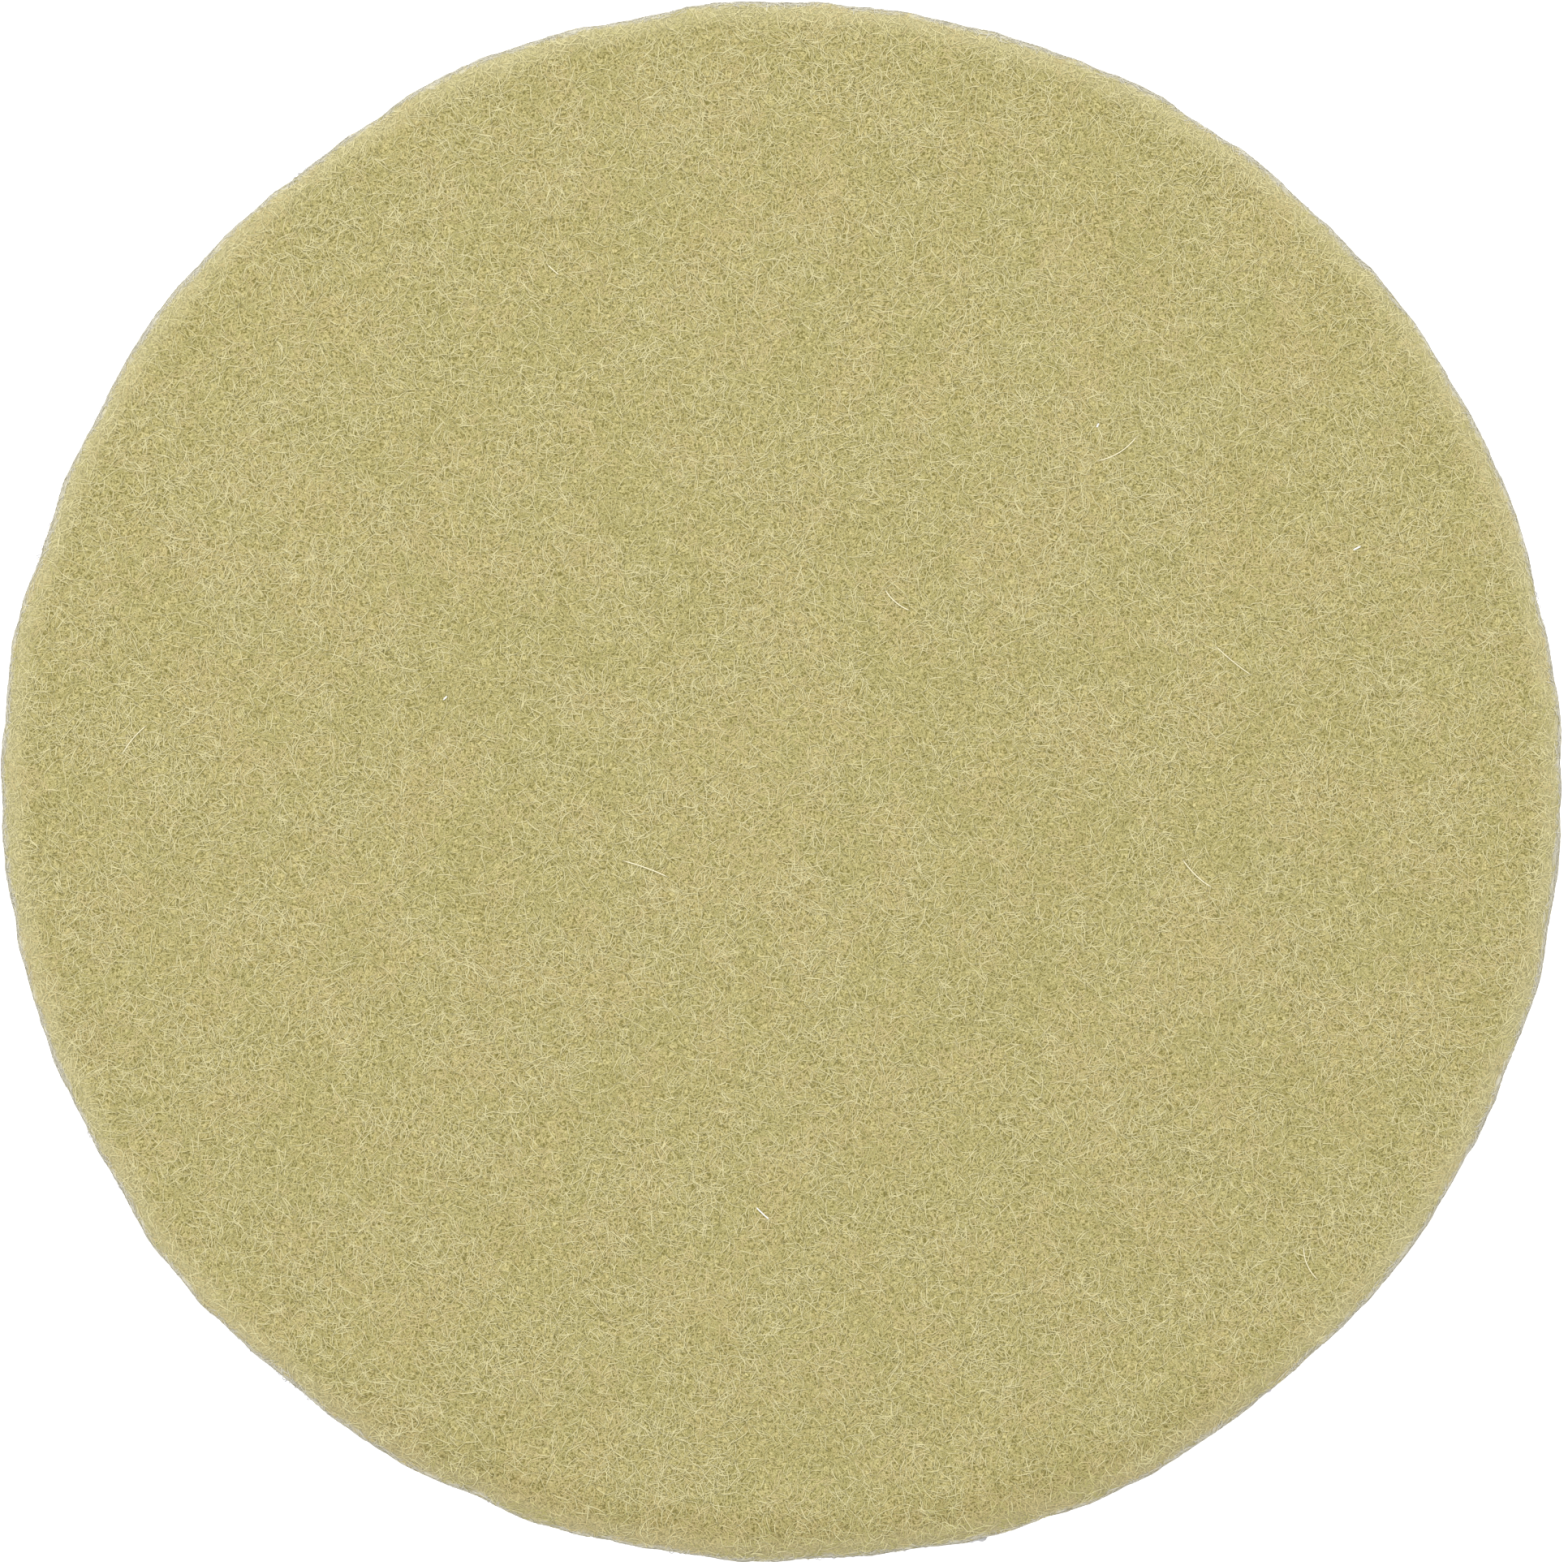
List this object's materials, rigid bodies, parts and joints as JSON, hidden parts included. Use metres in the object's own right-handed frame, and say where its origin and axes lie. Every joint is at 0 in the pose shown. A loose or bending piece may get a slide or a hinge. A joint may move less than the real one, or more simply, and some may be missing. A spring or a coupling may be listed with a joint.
{
  "type": "felt polishing disc",
  "caption": "Round pressed-felt face polishing disc with a soft rounded rim and no bore, bonded to a loop cloth backing that grips a hook-faced plate.",
  "frame": {"origin": "centre of the underside of the loop cloth, where the disc rests or meets its backing plate", "axes": "+Z along the spin axis, from the loop cloth towards the felt's working face; +X and +Y lie in the plane of the disc and are interchangeable"},
  "size_m": [0.15, 0.15, 0.01],
  "materials": {
    "pressed_felt": "matte",
    "hot_melt_film": "satin",
    "loop_cloth": "matte"
  },
  "bodies": {
    "root": {"felt_pad": "pressed_felt", "adhesive_film": "hot_melt_film", "loop_backing": "loop_cloth"}
  },
  "joints": []
}
